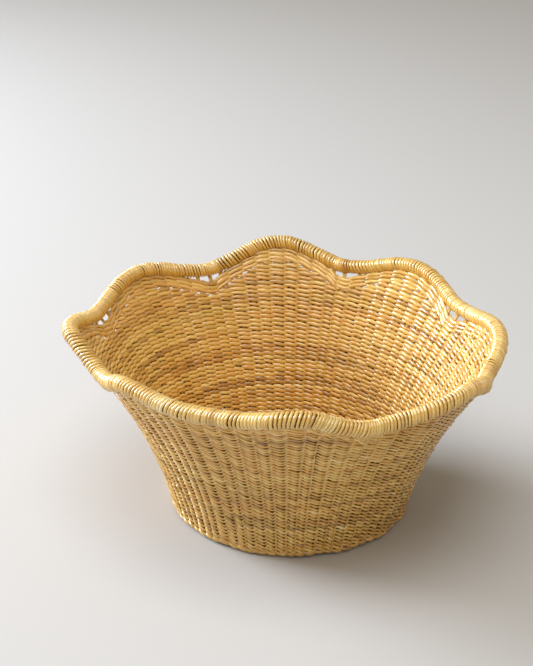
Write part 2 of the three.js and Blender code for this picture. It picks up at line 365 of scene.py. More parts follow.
@dataclass
class StrandMesh:
    """Gathers strands into one mesh with a map along them, their tones and their warmths."""

    name: str
    sides: int = 8
    strands: list[Strand] = field(default_factory=list)

    def _surface(self, strand: Strand, first: int) -> tuple[Array, Array, Array, Array]:
        """Vertices, four-cornered faces, their map corners and end caps of one strand.

        A face joins two neighbouring section points on two neighbouring sections. The map runs
        in metres along the strand and from 0 to 1 round it.

        Args:
            strand: The strand to cover.
            first: Index that its first vertex will have.

        Returns:
            Vertices (n, 3), faces (f, 4), map (f, 4, 2) and caps (0 or 2, sides).
        """
        rings = strand.rings(self.sides)
        count = len(rings)
        spans = count if strand.closed else count - 1
        along = np.arange(spans)[:, None]
        side = np.arange(self.sides)[None, :]
        near, far = along * self.sides, (along + 1) % count * self.sides
        turn = (side + 1) % self.sides
        faces = np.stack([near + side, far + side, far + turn, near + turn], axis=-1).reshape(-1, 4)
        run = strand.run()
        start, end = run[:spans, None], run[1 : spans + 1, None]
        below, above = side / self.sides, (side + 1) / self.sides
        corners = np.broadcast_arrays(start, below, end, below, end, above, start, above)
        corner_map = np.stack(corners, axis=-1).reshape(-1, 4, 2)
        caps = np.zeros((0, self.sides), dtype=int)
        if not strand.closed:
            ring = np.arange(self.sides)
            caps = np.stack([ring, ring[::-1] + (count - 1) * self.sides])
        return rings.reshape(-1, 3), faces + first, corner_map, caps + first

    def build(self) -> bpy.types.Object:
        """Writes all strands into a new mesh object at the origin.

        Returns:
            The object, linked to the scene, with smooth faces.
        """
        surfaces, first = [], 0
        for strand in self.strands:
            surfaces.append(self._surface(strand, first))
            first += len(surfaces[-1][0])
        points, quads, maps, caps = (np.concatenate(parts) for parts in zip(*surfaces))
        totals = np.repeat([quads.shape[1], caps.shape[1]], [len(quads), len(caps)])
        mesh = bpy.data.meshes.new(self.name)
        mesh.vertices.add(len(points))
        mesh.vertices.foreach_set("co", points.ravel())
        mesh.loops.add(quads.size + caps.size)
        mesh.loops.foreach_set("vertex_index", np.concatenate([quads.ravel(), caps.ravel()]))
        mesh.polygons.add(len(totals))
        mesh.polygons.foreach_set("loop_start", np.cumsum(totals) - totals)
        mesh.polygons.foreach_set("loop_total", totals)
        mesh.polygons.foreach_set("use_smooth", np.ones(len(totals), dtype=bool))
        uv = np.concatenate([maps.reshape(-1, 2), np.zeros((caps.size, 2))])
        mesh.uv_layers.new(name=STRAND_MAP).data.foreach_set("uv", uv.ravel())
        tones = np.concatenate([strand.tone for strand in self.strands])
        warmths = np.concatenate([strand.warmth for strand in self.strands])
        for name, values in ((TONE, tones), (WARMTH, warmths)):
            layer = mesh.attributes.new(name, "FLOAT", "POINT")
            layer.data.foreach_set("value", np.repeat(values, self.sides))
        mesh.update()
        mesh.validate()
        piece = bpy.data.objects.new(self.name, mesh)
        bpy.context.scene.collection.objects.link(piece)
        return piece


@dataclass(frozen=True)
class StrawFinish:
    """A straw surface: two colour runs from shade to light, mixed by warmth, with fine fibres.

    Attributes:
        roughness: Lowest and highest roughness, between which the fibres vary it.
        wax: Weight of the clear coat.
        fibres_along: Scale of the fibres' noise to a metre along a strand.
        fibres_round: Its scale once round a strand.
        fibre_shift: How far the noise moves for a tone that is higher by one.
        fibre_share: How far the fibres move the place on the colour runs.
        blotch_share: How far the blotches move it.
        relief: Depth of the fibres' relief.
    """

    name: str
    slot: str
    cool: ColourRun
    warm: ColourRun
    roughness: tuple[float, float] = (0.22, 0.40)
    shine: float = 0.85
    wax: float = 0.8
    wax_roughness: float = 0.22
    fibres_along: float = 55.0
    fibres_round: float = 5.0
    fibre_shift: Triple = (0.0, 37.0, 53.0)
    fibre_detail: float = 4.0
    fibre_falloff: float = 0.62
    fibre_share: float = 0.44
    blotch_scale: float = 26.0
    blotch_detail: float = 2.0
    blotch_share: float = 0.16
    relief: float = 0.00022

    def _ramp(self, tree: Tree, run: ColourRun, place: Socket) -> Socket:
        """Adds a colour ramp.

        Args:
            tree: The material's node tree.
            run: Places and colours of the ramp's stops.
            place: Output that gives the place on the ramp.

        Returns:
            The colour output.
        """
        node = add_node(tree, "ShaderNodeValToRGB", {"Fac": place})
        elements = node.color_ramp.elements
        while len(elements) < len(run):
            elements.new(RAMP_MIDDLE)
        for element, (position, colour) in zip(elements, run):
            element.position = position
            element.color = (*colour, 1.0)
        return node.outputs["Color"]

    def _fibres(self, tree: Tree, tone: Socket) -> Socket:
        """Adds noise that is drawn out along the strand's map, so that it reads as fibres.

        Each straw's tone shifts the noise, so that neighbours differ.

        Args:
            tree: The material's node tree.
            tone: Output that gives the straw's tone.

        Returns:
            The noise output, from 0 to 1.
        """
        place = add_node(tree, "ShaderNodeUVMap", {}, uv_map=STRAND_MAP).outputs["UV"]
        scale = (self.fibres_along, self.fibres_round, 1.0)
        drawn = add_node(tree, "ShaderNodeVectorMath", {0: place, 1: scale}, operation="MULTIPLY")
        shifted = add_node(
            tree,
            "ShaderNodeVectorMath",
            {0: tone, 1: self.fibre_shift, 2: drawn.outputs["Vector"]},
            operation="MULTIPLY_ADD",
        )
        noise = {
            "Vector": shifted.outputs["Vector"],
            "Scale": 1.0,
            "Detail": self.fibre_detail,
            "Roughness": self.fibre_falloff,
        }
        return add_node(tree, "ShaderNodeTexNoise", noise).outputs["Fac"]

    def _blotches(self, tree: Tree) -> Socket:
        """Adds soft noise that runs through the whole bowl.

        Args:
            tree: The material's node tree.

        Returns:
            The noise output, from 0 to 1.
        """
        spot = add_node(tree, "ShaderNodeTexCoord", {}).outputs["Object"]
        noise = {"Vector": spot, "Scale": self.blotch_scale, "Detail": self.blotch_detail}
        return add_node(tree, "ShaderNodeTexNoise", noise).outputs["Fac"]

    def _shade(self, tree: Tree, tone: Socket, fibres: Socket) -> Socket:
        """Adds up the place on the colour runs: the tone and a share of each noise about its middle.

        Args:
            tree: The material's node tree.
            tone: Output that gives the straw's tone.
            fibres: Output of the fibres' noise.

        Returns:
            The sum's output.
        """
        place = tone
        for noise, share in ((fibres, self.fibre_share), (self._blotches(tree), self.blotch_share)):
            centred = add_math(tree, "SUBTRACT", noise, NOISE_MIDDLE)
            place = add_math(tree, "ADD", place, add_math(tree, "MULTIPLY", centred, share))
        return place

    def material(self) -> bpy.types.Material:
        """Builds the material, or returns it if an earlier piece has it already.

        The tone of each strand, its fibres and soft blotches add up to a place on two colour
        ramps, and the warmth mixes those. The fibres also set the gloss and a fine relief.

        Returns:
            The node material.
        """
        found = bpy.data.materials.get(self.name)
        if found:
            return found
        material = bpy.data.materials.new(self.name)
        material.use_nodes = True
        tree = material.node_tree
        tone, warmth = (
            add_node(tree, "ShaderNodeAttribute", {}, attribute_name=name).outputs["Fac"]
            for name in (TONE, WARMTH)
        )
        fibres = self._fibres(tree, tone)
        place = self._shade(tree, tone, fibres)
        cool, warm = (self._ramp(tree, run, place) for run in (self.cool, self.warm))
        mixed = {"Factor": warmth, "A": cool, "B": warm}
        colour = add_node(tree, "ShaderNodeMix", mixed, data_type="RGBA")
        low, high = self.roughness
        gloss = add_node(tree, "ShaderNodeMapRange", {"Value": fibres, "To Min": low, "To Max": high})
        bump = add_node(tree, "ShaderNodeBump", {"Height": fibres, "Distance": self.relief})
        surface = {
            "Base Color": colour.outputs["Result"],
            "Roughness": gloss.outputs["Result"],
            "Normal": bump.outputs["Normal"],
            "Specular IOR Level": self.shine,
            "Coat Weight": self.wax,
            "Coat Roughness": self.wax_roughness,
        }
        feed(tree, tree.nodes["Principled BSDF"], surface)
        return material

    def dress(self, piece: bpy.types.Object, *nodes: str) -> None:
        """Gives a piece this finish and puts it in the place of the named nodes.

        Args:
            piece: The finished piece.
            *nodes: Frame nodes that it stands for.
        """
        piece.data.materials.append(self.material())
        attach(piece, BODY)
        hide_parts(*nodes)
        LOG.info("%s: %d faces for %s", piece.name, len(piece.data.polygons), ", ".join(nodes))


COOL_STRAW = (
    (0.0, (0.190, 0.096, 0.016)),
    (0.30, (0.430, 0.235, 0.034)),
    (0.55, (0.660, 0.402, 0.066)),
    (0.80, (0.800, 0.555, 0.145)),
    (1.0, (0.860, 0.700, 0.350)),
)
WARM_STRAW = (
    (0.0, (0.190, 0.074, 0.012)),
    (0.30, (0.450, 0.200, 0.028)),
    (0.55, (0.690, 0.348, 0.056)),
    (0.80, (0.810, 0.495, 0.120)),
    (1.0, (0.860, 0.640, 0.300)),
)
# Colour run of the stems' own darker straw; its dark low end also carries painted shade for the hidden
# stake straws and the rim bundle.
DEEP_STRAW_AND_PAINTED_SHADE = (
    (0.0, (0.045, 0.018, 0.003)),
    (0.20, (0.150, 0.070, 0.012)),
    (0.40, (0.520, 0.300, 0.060)),
    (0.70, (0.720, 0.470, 0.130)),
    (1.0, (0.840, 0.660, 0.300)),
)
WALL_STRAW = StrawFinish("wall straw", "wall_straw", COOL_STRAW, WARM_STRAW)
BORDER_STRAW = StrawFinish("border straw", "border_straw", COOL_STRAW, WARM_STRAW, fibre_share=0.46)
BASE_STRAW = StrawFinish("base straw", "base_straw", COOL_STRAW, WARM_STRAW)
HEEL_STRAW = StrawFinish("heel straw", "heel_straw", COOL_STRAW, WARM_STRAW, fibre_share=0.46)
STAKE_STRAW = StrawFinish(
    "stake straw",
    "stake_straw",
    DEEP_STRAW_AND_PAINTED_SHADE,
    DEEP_STRAW_AND_PAINTED_SHADE,
    shine=0.2,
    wax=0.0,
    fibres_round=7.0,
    fibre_share=0.20,
)
CORE_STRAW = StrawFinish(
    "core straw",
    "core_straw",
    DEEP_STRAW_AND_PAINTED_SHADE,
    DEEP_STRAW_AND_PAINTED_SHADE,
    shine=0.2,
    wax=0.0,
    fibre_share=0.20,
)
WRAP_STRAW = StrawFinish(
    "wrap straw",
    "wrap_straw",
    COOL_STRAW,
    WARM_STRAW,
    roughness=(0.18, 0.34),
    shine=1.0,
    wax=1.0,
    blotch_share=0.10,
)


@dataclass
class Twiner:
    """Twines pairs of strands round the stakes, each over one stake and behind the next.

    A strand swings out of the row and back, and climbs up it. It floats over a stake on the
    outside, and crosses the other strand between two stakes. Widths and thicknesses are halves.

    Attributes:
        steps: Points along a strand to each stake.
        cross_swing: How far inside the row the strands cross.
        press_outside: How flat the swing is outside, and press_inside inside.
        climb_turn: How fast the climb grows from inside to outside.
        climb_cross: Share of the climb's growth that is reached where the strands cross.
        inside_wave: Height of the small wave inside.
        lead: Shift of the climb along the row, as a phase.
        pull: Power by which a float fills out, and inside_pull inside.
        dive_notch: Depth of the notch where a float goes in, and rise_notch where it comes out.
        shift_spread: Spread of a random rise at each stake. swing_spread, width_spread and
            notch_spread are shares of those sizes.
        spread_limit: How many spreads a random number at a stake may reach.
        strand_tone: Spread of the straws' tones, and float_tone of the floats'.
        shortest_straw: Least length of a straw in stakes, and longest_straw its greatest.
        tuck: Stretch over which an open row's ends thin out, in stakes.
        tuck_end: Square of the share that is left at the very end.
    """

    rng: np.random.Generator
    slant: Slant = Slant.DOWN_TO_THE_RIGHT
    steps: int = 6
    outside_swing: float = 0.00128
    inside_swing: float = 0.00092
    cross_swing: float = 0.0003
    press_outside: float = 1.1
    press_inside: float = 0.8
    climb_outside: float = 0.0019
    climb_inside: float = 0.00025
    climb_turn: float = 1.6
    climb_cross: float = 0.28
    inside_wave: float = 0.0003
    lead: float = -0.1
    float_width: float = 0.00142
    cross_width: float = 0.00112
    inside_width: float = 0.00168
    pull: float = 2.0
    inside_pull: float = 0.5
    dive_notch: float = 0.00042
    rise_notch: float = 0.00034
    float_thickness: float = 0.00090
    cross_thickness: float = 0.00082
    shift_spread: float = 0.00028
    swing_spread: float = 0.09
    width_spread: float = 0.13
    notch_spread: float = 0.35
    spread_limit: float = 2.0
    tone_middle: float = 0.58
    tone_spread: float = 0.08
    strand_tone: float = 0.05
    float_tone: float = 0.055
    warmth_middle: float = 0.47
    warmth_spread: float = 0.20
    strand_warmth: float = 0.10
    shortest_straw: int = 7
    longest_straw: int = 22
    tuck: float = 0.4
    tuck_end: float = 0.12

    def places(self, start: float, end: float, closed: bool) -> Array:
        """Places along a row, spaced evenly at about the given steps to a stake."""
        count = int(round((end - start) * self.steps))
        return np.linspace(start, end, count if closed else count + 1, endpoint=not closed)

    def _per_stake(self, place: Array, closed: bool) -> Array:
        """A random number at each stake with straight lines between.

        On a closed row the last number but one is at the first stake again, so it repeats the first.

        Args:
            place: Places along the row, in stakes.
            closed: Whether the row runs right round, from place 0.

        Returns:
            Numbers about zero with a spread of one, cut off at the limit.
        """
        first, last = int(np.floor(place[0])), int(np.ceil(place[-1])) + 1
        values = self.rng.normal(0.0, 1.0, last - first + 1)
        if closed:
            values[-2] = values[0]
        between = np.interp(place, np.arange(first, last + 1), values)
        return np.clip(between, -self.spread_limit, self.spread_limit)

    def _straws(self, place: Array, middle: float, spread: float) -> Array:
        """Random steps from one straw's value to the next, where a new straw was laid in.

        The first straw is cut short by a random length.

        Args:
            place: Places along the row, in stakes.
            middle: Mean of the values.
            spread: Their spread.

        Returns:
            The value at each place.
        """
        most = int((place[-1] - place[0]) / self.shortest_straw) + 2
        lengths = self.rng.integers(self.shortest_straw, self.longest_straw, most)
        ends = place[0] + np.cumsum(lengths) - self.rng.uniform(0.0, self.shortest_straw)
        values = self.rng.normal(middle, spread, len(ends) + 1)
        return values[np.searchsorted(ends, place)]

    def _rise(self, phase: Array) -> Array:
        """How far a strand lies above its row: a slightly shifted sine of the phase.

        The sine is full outside and small inside, and goes from one to the other with the cosine
        of the phase. Inside, a small wave of twice the phase is added.

        Args:
            phase: Half a turn for each stake, zero where the strand floats over one.

        Returns:
            Distances up the row.
        """
        share = np.clip(self.climb_cross + self.climb_turn * np.cos(phase), 0.0, 1.0)
        climb = self.climb_inside + (self.climb_outside - self.climb_inside) * share
        wave = np.where(np.cos(phase) < 0.0, np.sin(2.0 * phase), 0.0)
        rise = self.slant.value * climb * np.sin(phase + self.lead)
        return rise - self.slant.value * self.inside_wave * wave

    def _swing(self, phase: Array, uneven: Array) -> Array:
        """How far a strand lies outside its row: a flattened cosine of the phase, further out than in.

        The cosine is flattened by a hyperbolic tangent, pressed harder outside. The crossings lie
        a little inside the row.

        Args:
            phase: Half a turn for each stake, zero where the strand floats over one.
            uneven: Factors on the swing.

        Returns:
            Distances out of the row.
        """
        press = np.where(np.cos(phase) > 0.0, self.press_outside, self.press_inside)
        swing = np.tanh(press * np.cos(phase)) / np.tanh(press)
        outside, inside = self.outside_swing + self.cross_swing, self.inside_swing - self.cross_swing
        return swing * np.where(swing > 0.0, outside, inside) * uneven - self.cross_swing

    def _section(self, phase: Array, notch: Array) -> tuple[Array, Array]:
        """Half width and half thickness of a strand: narrow where it crosses, fuller over stakes.

        Both grow with powers of the cosine of the phase. Twice its product with the sine, which is
        greatest on the flanks of a float, notches the width there.

        Args:
            phase: Half a turn for each stake, zero where the strand floats over one.
            notch: Factors on the depth of the notches.

        Returns:
            Half widths and half thicknesses.
        """
        outside, inside = np.clip(np.cos(phase), 0.0, 1.0), np.clip(-np.cos(phase), 0.0, 1.0)
        over, under = outside**self.pull, inside**self.inside_pull
        width = self.cross_width + (self.float_width - self.cross_width) * over
        width = width + (self.inside_width - self.cross_width) * under
        flank = 2.0 * outside * np.sin(phase)
        width = width - notch * np.where(flank > 0.0, self.dive_notch * flank, -self.rise_notch * flank)
        fuller = self.float_thickness - self.cross_thickness
        return width, self.cross_thickness + fuller * (over + under)

    def _size(self, place: Array, closed: bool) -> Array:
        """Uneven factor on a strand's section, which thins out at an open row's ends.

        Args:
            place: Places along the row, in stakes.
            closed: Whether the row runs right round.

        Returns:
            Factors, which fall with the square root of the distance over the last stretch.
        """
        size = 1.0 + self.width_spread * self._per_stake(place, closed)
        if closed:
            return size
        inset = np.minimum(place - place[0], place[-1] - place)
        return size * np.sqrt(np.clip(inset / self.tuck, self.tuck_end, 1.0))

    def pair(
        self, place: Array, line: tuple[Array, Array, Array], closed: bool, tone_shift: float = 0.0
    ) -> list[Strand]:
        """Two strands that swing in and out and up and down about a row, half a wave apart.

        Each follows `_rise` and `_swing` with its own unevenness. Both share the row's tones and
        warmths, and each straw and each float differs a little from them.

        Args:
            place: Places along the row, in stakes.
            line: Points of the row with its up and outward directions.
            closed: Whether the row runs right round.
            tone_shift: Added to the strands' tone.

        Returns:
            The two strands.
        """
        point, up, outward = line
        row_tone = self._straws(place, self.tone_middle + tone_shift, self.tone_spread)
        row_warmth = self._straws(place, self.warmth_middle, self.warmth_spread)
        strands = []
        for number in range(2):
            phase = np.pi * (place + number)
            rise = self._rise(phase) + self.shift_spread * self._per_stake(place, closed)
            swing = self._swing(phase, 1.0 + self.swing_spread * self._per_stake(place, closed))
            middle = point + outward * swing[:, None] + up * rise[:, None]
            size = self._size(place, closed)
            notch = 1.0 + self.notch_spread * self._per_stake(place, closed)
            width, thickness = self._section(phase, notch)
            tone = row_tone + self._straws(place, 0.0, self.strand_tone)
            tone = tone + self.float_tone * self._per_stake(place, closed)
            warmth = np.clip(row_warmth + self._straws(place, 0.0, self.strand_warmth), 0.0, 1.0)
            strands.append(Strand(middle, outward, width * size, thickness * size, tone, warmth, closed))
        return strands


@dataclass
class Wall:
    """The woven wall: level rows, short rows in the petals and rows that follow the wave.

    Attributes:
        rim_half: Distance from the rim's middle to the top of the border.
        valley_opening: How much lower the border lies in the deepest valley.
        valley_sharpness: Power of a valley's depth by which the border is lowered.
        end_overlap: How far the petal rows' ends may reach into the border.
        least_stakes: Length of the shortest petal row, in stakes.
        search_steps: Steps to a stake in the search for petal rows.
    """

    shape: BowlShape
    twiner: Twiner
    courses: int = 6
    row_pitch: float = 0.0034
    row_tone_spread: float = 0.05
    first_row_height: float = 0.0072
    level_top_height: float = 0.1017
    border_rows: int = 3
    border_pitch: float = 0.0033
    border_float_width: float = 0.0013
    border_cross_width: float = 0.0014
    border_tone: float = 0.03
    rim_half: float = 0.0056
    valley_opening: float = 0.0050
    valley_sharpness: float = 6.0
    end_overlap: float = 0.0018
    least_stakes: float = 1.2
    search_steps: int = 10

    @property
    def level_top(self) -> float:
        """Length up the wall at which the level rows end and the petals begin."""
        return float(self.shape.length_at(self.level_top_height))

    def border_edge(self, azimuth: Array, row: float) -> Array:
        """Length up the wall of a wavy row, counted down from the rim.

        The rows keep below the rim's half thickness, and lower still in a valley, by a power of
        its depth, which leaves an opening there.

        Args:
            azimuth: Angles round the bowl.
            row: How many rows down it lies.

        Returns:
            Lengths up the wall.
        """
        valley = self.shape.wave_at(azimuth)[1]
        drop = self.rim_half + self.valley_opening * valley**self.valley_sharpness
        return self.shape.rim_length(azimuth) - drop - row * self.border_pitch

    def level_lengths(self) -> Array:
        """Level rows at the pitch that fits a whole number of them in evenly.

        Returns:
            Lengths up the wall of the rows' middles.
        """
        low = float(self.shape.length_at(self.first_row_height))
        count = int(round((self.level_top - low) / self.row_pitch))
        return low + (np.arange(count) + 0.5) * (self.level_top - low) / count

    def _row(self, start: float, end: float, length: float) -> list[Strand]:
        """One row's two strands between two places, closed if it runs right round.

        Args:
            start: Place of its start, in stakes.
            end: Place of its end.
            length: Length up the wall that the row would have if it were level.

        Returns:
            The two strands.
        """
        closed = end - start >= self.shape.stakes
        place = self.twiner.places(start, end, closed)
        line = self.shape.wall(place, self.petal_length(place, length))
        shift = self.twiner.rng.normal(0.0, self.row_tone_spread)
        return self.twiner.pair(place, line, closed, shift)

    def petal_length(self, place: Array, length: float) -> Array:
        """A row's length up the wall, spread so that a whole number of rows fills each petal.

        Below the petals the rows are level. Above them each crest has its own stretch, the room
        under its border over the nearest whole number of rows, with straight lines between crests.

        Args:
            place: Places along the row, in stakes.
            length: Length up the wall that the row would have if it were level.

        Returns:
            Lengths up the wall.
        """
        top = self.level_top
        if length <= top:
            return np.full_like(place, length)
        crests = self.shape.crests()
        room = self.border_edge(crests, self.border_rows) - top
        stretch = room / (np.round(room / self.row_pitch) * self.row_pitch)
        azimuth = np.mod(place * self.shape.stake_step, TURN)
        return top + (length - top) * np.interp(azimuth, crests, stretch, period=TURN)

    def build_level_courses(self) -> None:
        """Builds the rows below the petals, shared out evenly among the wall courses."""
        for number, share in enumerate(np.array_split(self.level_lengths(), self.courses), start=1):
            mesh = StrandMesh(f"wall_rows_{number}")
            for length in share:
                mesh.strands += self._row(0.0, float(self.shape.stakes), float(length))
            WALL_STRAW.dress(mesh.build(), f"wall_course_{number}")

    def _open_stretches(self, length: float) -> list[tuple[float, float]]:
        """Stretches of a petal row that lie under the border, searched for in small steps.

        Two turns are laid out, and the search starts where the row is first cut off.

        Args:
            length: Length up the wall that the row would have if it were level.

        Returns:
            Start and end places in stakes, or the whole turn if the border never comes so low.
        """
        stakes = self.shape.stakes
        place = np.arange(0.0, 2.0 * stakes, 1.0 / self.search_steps)
        edge = self.border_edge(place * self.shape.stake_step, self.border_rows)
        under = edge > self.petal_length(place, length) + 0.5 * self.row_pitch - self.end_overlap
        if under.all():
            return [(0.0, float(stakes))]
        first = int(np.argmin(under))
        turn = under[first : first + self.search_steps * stakes + 1]
        changes = np.flatnonzero(np.diff(turn.astype(int)))
        starts, ends = changes[::2] + 1, changes[1::2]
        pairs = zip(place[first + starts], place[first + ends])
        return [(start, end) for start, end in pairs if end - start >= self.least_stakes]

    def build_petals(self) -> None:
        """Builds the short rows above the level ones, as far up as the border leaves room."""
        mesh = StrandMesh("petal_rows")
        length = self.level_top + 0.5 * self.row_pitch
        stretches = self._open_stretches(length)
        while stretches:
            for start, end in stretches:
                mesh.strands += self._row(start, end, length)
            length += self.row_pitch
            stretches = self._open_stretches(length)
        WALL_STRAW.dress(mesh.build(), "petal_course")

    def build_border(self) -> None:
        """Builds the rows that follow the wave, from just under the rim downwards."""
        twiner = Twiner(
            self.twiner.rng, float_width=self.border_float_width, cross_width=self.border_cross_width
        )
        mesh = StrandMesh("border_rows")
        place = twiner.places(0.0, float(self.shape.stakes), True)
        azimuth = place * self.shape.stake_step
        for row in range(self.border_rows):
            line = self.shape.wall(place, self.border_edge(azimuth, row + 0.5))
            mesh.strands += twiner.pair(place, line, True, self.border_tone)
        BORDER_STRAW.dress(mesh.build(), "border_course")


@dataclass
class Stakes:
    """The stems that the rows are twined round: bundles of straws, each folded into two uprights.

    The straws lie side by side in the weave and are drawn together under the rim.

    Attributes:
        straw_share: Half width of a straw in the weave, as a share of the stakes' spacing.
        apart_share: Distance between two straws there, as another share of it.
        side_thickness: Half thickness of the outer straws in the weave.
        heel_bend: How far from the corner of the heel an upright starts to bend.
        rim_drop: How far below the rim's middle an upright ends.
        hidden_from: Step from the top at which the weave begins, and hidden_by where it is full.
        hidden_painted_shade: Painted shade: how much darker the straws are where the weave hides them.
        side_painted_shade: Painted shade: how much darker still the outer ones are, so that they fill the
            weave's gaps as a dark backing.
    """

    shape: BowlShape
    rng: np.random.Generator
    straws: int = 3
    straw_share: float = 0.155
    apart_share: float = 0.315
    top_half_width: float = 0.00085
    top_apart: float = 0.00090
    half_thickness: float = 0.00056
    side_thickness: float = 0.00018
    size_spread: float = 0.05
    heel_bend: float = 0.006
    rim_drop: float = 0.0046
    wall_steps: int = 36
    bend_steps: int = 5
    flat_steps: int = 4
    hidden_from: float = 4.6
    hidden_by: float = 6.0
    tone_middle: float = 0.46
    tone_spread: float = 0.06
    # Painted shade: how much darker the straws are where the weave hides them, and the outer ones
    # further.
    hidden_painted_shade: float = 0.12
    side_painted_shade: float = 0.27
    warmth_range: tuple[float, float] = (0.2, 0.7)

    def _upright(self, place: float) -> tuple[Array, Array]:
        """Middle line of one upright from rim to fold, with the directions of its thickness.

        It follows the wall down, rounds the heel on a quadratic curve and runs in along the base.

        Args:
            place: The upright's place in stakes.

        Returns:
            Points and thickness directions, each (n, 3).
        """
        azimuth = place * self.shape.stake_step
        top = float(self.shape.rim_length(azimuth)) - self.rim_drop
        foot = float(self.shape.length_at(self.shape.base_level)) + self.heel_bend
        length = np.linspace(top, foot, self.wall_steps)
        wall, _, outward = self.shape.wall(np.full_like(length, place), length)
        spoke = np.array([np.cos(azimuth), np.sin(azimuth), 0.0])
        level = np.array([0.0, 0.0, self.shape.base_level])
        corner = spoke * float(self.shape.radius_at(self.shape.base_level)) + level
        inner = corner - spoke * self.heel_bend
        share = np.linspace(0.0, 1.0, self.bend_steps + 1)[1:, None]
        bend = (1 - share) ** 2 * wall[-1] + 2 * share * (1 - share) * corner + share**2 * inner
        bend_out = unit((1 - share) * outward[-1] + share * DOWN)
        fold = spoke * self.shape.fold_radius + level
        flat = inner + np.linspace(0.0, 1.0, self.flat_steps + 1)[1:, None] * (fold - inner)
        flat_out = np.tile(DOWN, (len(flat), 1))
        return np.vstack([wall, bend, flat]), np.vstack([outward, bend_out, flat_out])

    def _straws(self, place: float) -> list[tuple[Array, Array, Array, Array, Array]]:
        """The straws of one upright, set off sideways from its middle line.

        Where the weave hides them the outer straws are thinner, and all are darkened by painted shade,
        the outer ones most.

        Args:
            place: The upright's place in stakes.

        Returns:
            For each straw its points, thickness directions, half widths, half thicknesses and painted
            shades.
        """
        line, outward = self._upright(place)
        azimuth = place * self.shape.stake_step
        sideways = np.array([-np.sin(azimuth), np.cos(azimuth), 0.0])
        hidden = np.interp(np.arange(len(line)), [self.hidden_from, self.hidden_by], [0.0, 1.0])
        spacing = np.hypot(line[:, 0], line[:, 1]) * self.shape.stake_step
        apart = self.top_apart + (self.apart_share * spacing - self.top_apart) * hidden
        width = self.top_half_width + (self.straw_share * spacing - self.top_half_width) * hidden
        straws = []
        for offset in np.arange(self.straws) - (self.straws - 1) / 2.0:
            side = abs(offset) * hidden
            thickness = self.half_thickness + (self.side_thickness - self.half_thickness) * side
            # Painted shade: darker where the weave hides the straw, darker still for the outer straws.
            shade = self.hidden_painted_shade * hidden + self.side_painted_shade * side
            straws.append((line + sideways * (offset * apart)[:, None], outward, width, thickness, shade))
        return straws

    def build(self) -> None:
        """Builds each folded stem as a piece of its own, with its straws joined at the fold."""
        for stem in range(self.shape.stakes // 2):
            mesh = StrandMesh(f"stem_{stem + 1:02d}")
            uprights = self._straws(2.0 * stem), self._straws(2.0 * stem + 1.0)[::-1]
            for first, second in zip(*uprights):
                joined = (np.concatenate([down, up[::-1]]) for down, up in zip(first, second))
                middle, outward, width, thickness, shade = joined
                size = 1.0 + self.size_spread * self.rng.normal(size=len(middle))
                # The painted shade lowers the straw's tone.
                tone = self.rng.normal(self.tone_middle, self.tone_spread) - shade
                warmth = np.full(len(middle), self.rng.uniform(*self.warmth_range))
                straw = Strand(middle, outward, width * size, thickness * size, tone, warmth, False)
                mesh.strands.append(straw)
            STAKE_STRAW.dress(mesh.build(), f"stake_{stem + 1:02d}")


